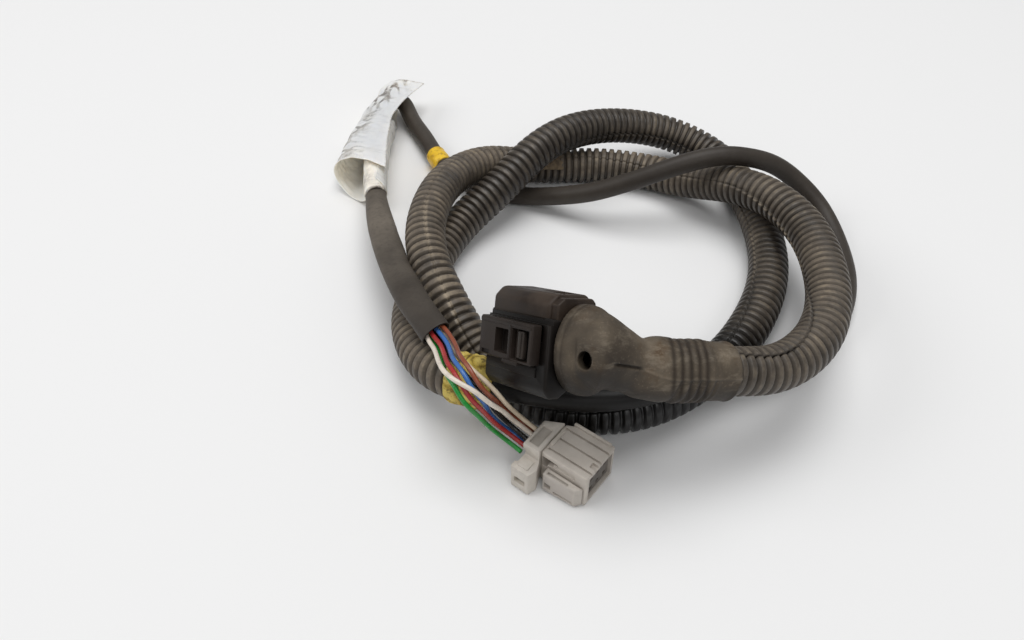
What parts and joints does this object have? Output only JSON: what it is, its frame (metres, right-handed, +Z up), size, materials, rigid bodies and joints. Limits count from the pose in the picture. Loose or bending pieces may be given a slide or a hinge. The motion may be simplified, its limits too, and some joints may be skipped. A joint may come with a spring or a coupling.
{
  "type": "wiring harness",
  "caption": "Coiled wiring harness: split corrugated conduit and thin sleeve between a black booted connector and a small grey connector, with tape bands and a flag label.",
  "frame": {"origin": "centre of the bounding box at its base, on the table", "axes": "+Z up from the table, +Y away from the viewer of the picture, +X to the viewer's right"},
  "size_m": [0.228, 0.2484, 0.0662],
  "materials": {
    "connector_housing": "satin black",
    "connector_hood": "satin black",
    "lock_slide": "satin black",
    "lock_tongue": "satin black",
    "terminal_carrier": "matt",
    "interface_seal": "matt",
    "rubber_boot": "dusty",
    "boot_wire_bundle": "matt",
    "conduit": "dusty",
    "saddle_strip": "dirty",
    "cloth_tape_band": "crinkled",
    "thin_sleeve": "dusty",
    "marker_tape": "glossy",
    "flag_label": "dirty",
    "wire_brown": "satin",
    "wire_blue": "satin",
    "wire_red": "satin",
    "wire_white": "satin",
    "wire_cream": "satin",
    "wire_black": "satin",
    "wire_green": "satin",
    "grey_housing": "satin",
    "grey_rear_cover": "satin",
    "grey_latch_panel": "satin",
    "grey_terminal_carrier": "matt"
  },
  "bodies": {
    "root": {"connector_housing": "connector_housing", "connector_hood": "connector_hood", "lock_slide": "lock_slide", "lock_tongue": "lock_tongue", "terminal_carrier": "terminal_carrier", "interface_seal": "interface_seal", "rubber_boot": "rubber_boot", "boot_wire_bundle": "boot_wire_bundle", "conduit": "conduit", "saddle_strip": "saddle_strip", "cloth_tape_band": "cloth_tape_band", "thin_sleeve": "thin_sleeve", "marker_tape": "marker_tape", "flag_label": "flag_label", "wire_brown": "wire_brown", "wire_blue": "wire_blue", "wire_red": "wire_red", "wire_white": "wire_white", "wire_cream": "wire_cream", "wire_black": "wire_black", "wire_green": "wire_green", "grey_housing": "grey_housing", "grey_rear_cover": "grey_rear_cover", "grey_latch_panel": "grey_latch_panel", "grey_terminal_carrier": "grey_terminal_carrier"}
  },
  "joints": []
}
